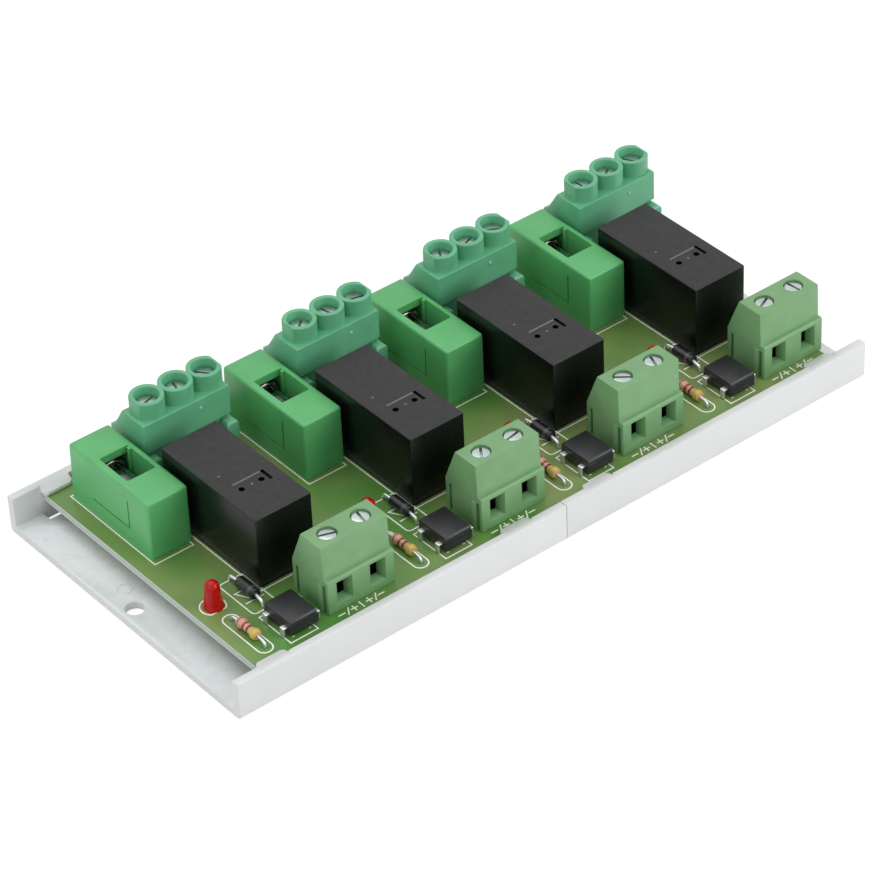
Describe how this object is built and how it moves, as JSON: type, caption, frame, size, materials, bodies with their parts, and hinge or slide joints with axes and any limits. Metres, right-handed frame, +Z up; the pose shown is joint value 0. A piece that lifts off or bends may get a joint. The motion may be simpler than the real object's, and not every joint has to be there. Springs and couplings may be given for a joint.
{
  "type": "relay module board",
  "caption": "Relay module: circuit board snapped in a white channel carrier, with sealed relays, fuse holders with green covers, screw terminals on both sides and small indicator lights.",
  "frame": {"origin": "middle of the carrier's underside", "axes": "X along the board, Y from the control terminals in front to the contact terminals at the back, Z up"},
  "size_m": [0.1526, 0.0724, 0.027],
  "materials": {
    "white_plastic": "moulded white plastic, satin",
    "board_green": "green solder mask on glass fibre, satin",
    "cover_green": "moulded green plastic, satin",
    "terminal_green": "moulded pale green plastic, satin",
    "relay_black": "moulded dark grey plastic, matt",
    "black_plastic": "moulded black plastic, matt",
    "red_lens": "red diffused lens, glossy",
    "resistor_tan": "tan lacquer, glossy",
    "fuse_glass": "clear glass, polished",
    "nickel_plate": "nickel plated, smooth",
    "zinc_steel": "zinc plated, smooth",
    "tinned_wire": "tinned copper, smooth"
  },
  "bodies": {
    "module": {"carrier_left": "white_plastic", "carrier_right": "white_plastic", "circuit_board": "board_green", "fuse_base_1": "black_plastic", "fuse_tube_1": "fuse_glass", "fuse_caps_1": "nickel_plate", "relay_1": "relay_black", "output_terminal_1": "terminal_green", "input_terminal_1": "terminal_green", "led_1": "red_lens", "diode_1": "black_plastic", "resistor_1": "resistor_tan", "bridge_rectifier_1": "black_plastic", "fuse_base_2": "black_plastic", "fuse_tube_2": "fuse_glass", "fuse_caps_2": "nickel_plate", "relay_2": "relay_black", "output_terminal_2": "terminal_green", "input_terminal_2": "terminal_green", "led_2": "red_lens", "diode_2": "black_plastic", "resistor_2": "resistor_tan", "bridge_rectifier_2": "black_plastic", "fuse_base_3": "black_plastic", "fuse_tube_3": "fuse_glass", "fuse_caps_3": "nickel_plate", "relay_3": "relay_black", "output_terminal_3": "terminal_green", "input_terminal_3": "terminal_green", "led_3": "red_lens", "diode_3": "black_plastic", "resistor_3": "resistor_tan", "bridge_rectifier_3": "black_plastic", "fuse_base_4": "black_plastic", "fuse_tube_4": "fuse_glass", "fuse_caps_4": "nickel_plate", "relay_4": "relay_black", "output_terminal_4": "terminal_green", "input_terminal_4": "terminal_green", "led_4": "red_lens", "diode_4": "black_plastic", "resistor_4": "resistor_tan", "bridge_rectifier_4": "black_plastic", "output_cages": "nickel_plate", "output_screws": "zinc_steel", "input_cages": "nickel_plate", "input_screws": "zinc_steel", "fuse_clips": "nickel_plate", "fuse_elements": "tinned_wire", "relay_pins": "tinned_wire", "led_leads": "tinned_wire", "axial_leads": "tinned_wire", "bridge_legs": "tinned_wire"},
    "cover_1": {"fuse_cover_1": "cover_green"},
    "cover_2": {"fuse_cover_2": "cover_green"},
    "cover_3": {"fuse_cover_3": "cover_green"},
    "cover_4": {"fuse_cover_4": "cover_green"}
  },
  "joints": [
    {"name": "cover_1_lift", "type": "slide", "parent": "module", "child": "cover_1", "axis": [0, 0, 1], "range_m": [0, 0.016]},
    {"name": "cover_2_lift", "type": "slide", "parent": "module", "child": "cover_2", "axis": [0, 0, 1], "range_m": [0, 0.016]},
    {"name": "cover_3_lift", "type": "slide", "parent": "module", "child": "cover_3", "axis": [0, 0, 1], "range_m": [0, 0.016]},
    {"name": "cover_4_lift", "type": "slide", "parent": "module", "child": "cover_4", "axis": [0, 0, 1], "range_m": [0, 0.016]}
  ]
}
